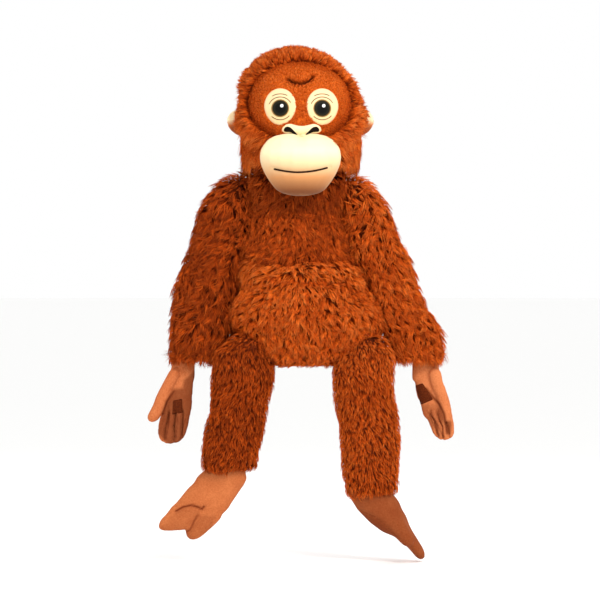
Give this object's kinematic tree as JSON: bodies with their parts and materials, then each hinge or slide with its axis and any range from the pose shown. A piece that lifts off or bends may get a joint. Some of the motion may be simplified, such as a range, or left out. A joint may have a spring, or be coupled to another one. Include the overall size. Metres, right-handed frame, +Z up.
{
  "type": "plush orangutan",
  "caption": "Long-armed rust-orange plush orangutan with a cream muzzle, bare cloth hands and feet and hook-and-loop palms.",
  "frame": {"origin": "centre line of the flat seat face under the torso", "axes": "+Z up through the head, -Y out of the face, +X towards the toy's left hand"},
  "size_m": [0.3916, 0.1771, 0.6607],
  "materials": {
    "long_pile_fur": "long rust-orange pile, matt",
    "fibre_fill": "white polyester fibre",
    "short_pile_face": "short orange pile, matt",
    "label_ribbon": "blank satin ribbon",
    "hook_and_loop_tape": "dark maroon hook-and-loop tape",
    "eye_thread": "dark satin embroidery with a brown ring and a white spot",
    "dark_thread": "dark brown embroidery thread",
    "cream_jersey": "brushed cream jersey",
    "bare_skin_cloth": "short-nap tan-orange cloth"
  },
  "bodies": {
    "torso": {"chest_panel": "long_pile_fur", "belly_panel": "long_pile_fur", "back_panel_left": "long_pile_fur", "back_panel_right": "long_pile_fur", "seat_panel": "long_pile_fur", "torso_stuffing": "fibre_fill", "care_label": "label_ribbon"},
    "neck": {"neck_stuffing": "fibre_fill"},
    "head": {"hood_left": "long_pile_fur", "hood_right": "long_pile_fur", "face_panel": "short_pile_face", "head_stuffing": "fibre_fill", "muzzle_cover": "cream_jersey", "muzzle_stuffing": "fibre_fill", "mouth_stitch": "dark_thread", "nose_patch": "cream_jersey", "nostril_left": "dark_thread", "eye_patch_left": "cream_jersey", "eye_left": "eye_thread", "ear_front_left": "cream_jersey", "ear_back_left": "long_pile_fur", "nostril_right": "dark_thread", "eye_patch_right": "cream_jersey", "eye_right": "eye_thread", "ear_front_right": "cream_jersey", "ear_back_right": "long_pile_fur"},
    "upper_arm_left": {"sleeve_left": "long_pile_fur", "upper_arm_stuffing_left": "fibre_fill"},
    "forearm_left": {"forearm_stuffing_left": "fibre_fill"},
    "hand_left": {"hand_palm_left": "bare_skin_cloth", "hand_back_left": "bare_skin_cloth", "hand_stuffing_left": "fibre_fill", "thumb_left": "bare_skin_cloth", "hook_patch": "hook_and_loop_tape"},
    "thigh_left": {"leg_cover_left": "long_pile_fur", "thigh_stuffing_left": "fibre_fill"},
    "shank_left": {"shank_stuffing_left": "fibre_fill"},
    "foot_left": {"foot_top_left": "bare_skin_cloth", "foot_sole_left": "bare_skin_cloth", "foot_stuffing_left": "fibre_fill", "big_toe_left": "bare_skin_cloth"},
    "upper_arm_right": {"sleeve_right": "long_pile_fur", "upper_arm_stuffing_right": "fibre_fill"},
    "forearm_right": {"forearm_stuffing_right": "fibre_fill"},
    "hand_right": {"hand_palm_right": "bare_skin_cloth", "hand_back_right": "bare_skin_cloth", "hand_stuffing_right": "fibre_fill", "thumb_right": "bare_skin_cloth", "loop_patch": "hook_and_loop_tape"},
    "thigh_right": {"leg_cover_right": "long_pile_fur", "thigh_stuffing_right": "fibre_fill"},
    "shank_right": {"shank_stuffing_right": "fibre_fill"},
    "foot_right": {"foot_top_right": "bare_skin_cloth", "foot_sole_right": "bare_skin_cloth", "foot_stuffing_right": "fibre_fill", "big_toe_right": "bare_skin_cloth"}
  },
  "joints": [
    {"name": "neck_turn", "type": "hinge", "parent": "torso", "child": "neck", "pos_m": [-0.002, 0.004, 0.252], "axis": [0, 0, 1], "range_deg": [-35, 35], "stiffness_Nm_per_rad": 0.25},
    {"name": "neck_nod", "type": "hinge", "parent": "neck", "child": "head", "pos_m": [-0.002, 0.004, 0.252], "axis": [1, 0, 0], "range_deg": [-15, 10], "stiffness_Nm_per_rad": 1.5},
    {"name": "shoulder_left", "type": "hinge", "parent": "torso", "child": "upper_arm_left", "pos_m": [0.098, 0, 0.206], "axis": [-1, 0, 0], "range_deg": [-35, 95]},
    {"name": "elbow_left", "type": "hinge", "parent": "upper_arm_left", "child": "forearm_left", "pos_m": [0.1198, 0, 0.102], "axis": [-1, 0, 0], "range_deg": [0, 60], "stiffness_Nm_per_rad": 0.12, "deforming": ["sleeve_left"]},
    {"name": "wrist_left", "type": "hinge", "parent": "forearm_left", "child": "hand_left", "pos_m": [0.1596, 0, 0.006], "axis": [-1, 0, 0], "range_deg": [-30, 55], "stiffness_Nm_per_rad": 0.05},
    {"name": "shoulder_right", "type": "hinge", "parent": "torso", "child": "upper_arm_right", "pos_m": [-0.098, 0, 0.206], "axis": [-1, 0, 0], "range_deg": [-35, 95]},
    {"name": "elbow_right", "type": "hinge", "parent": "upper_arm_right", "child": "forearm_right", "pos_m": [-0.1269, 0, 0.102], "axis": [-1, 0, 0], "range_deg": [0, 60], "stiffness_Nm_per_rad": 0.12, "deforming": ["sleeve_right"]},
    {"name": "wrist_right", "type": "hinge", "parent": "forearm_right", "child": "hand_right", "pos_m": [-0.1496, 0, 0.006], "axis": [-1, 0, 0], "range_deg": [-30, 55], "stiffness_Nm_per_rad": 0.05},
    {"name": "hip_left", "type": "hinge", "parent": "torso", "child": "thigh_left", "pos_m": [0.0786, -0.018, -0.022], "axis": [-1, 0, 0], "range_deg": [-20, 90]},
    {"name": "knee_left", "type": "hinge", "parent": "thigh_left", "child": "shank_left", "pos_m": [0.0856, -0.018, -0.082], "axis": [1, 0, 0], "range_deg": [0, 60], "stiffness_Nm_per_rad": 0.15, "deforming": ["leg_cover_left"]},
    {"name": "ankle_left", "type": "hinge", "parent": "shank_left", "child": "foot_left", "pos_m": [0.0886, -0.018, -0.156], "axis": [0, -1, 0], "range_deg": [-20, 45], "stiffness_Nm_per_rad": 0.1},
    {"name": "hip_right", "type": "hinge", "parent": "torso", "child": "thigh_right", "pos_m": [-0.0756, -0.018, -0.022], "axis": [-1, 0, 0], "range_deg": [-20, 90]},
    {"name": "knee_right", "type": "hinge", "parent": "thigh_right", "child": "shank_right", "pos_m": [-0.0846, -0.018, -0.072], "axis": [1, 0, 0], "range_deg": [0, 60], "stiffness_Nm_per_rad": 0.15, "deforming": ["leg_cover_right"]},
    {"name": "ankle_right", "type": "hinge", "parent": "shank_right", "child": "foot_right", "pos_m": [-0.0926, -0.018, -0.131], "axis": [-0.7071, 0, 0.7071], "range_deg": [-20, 45], "stiffness_Nm_per_rad": 0.1}
  ]
}
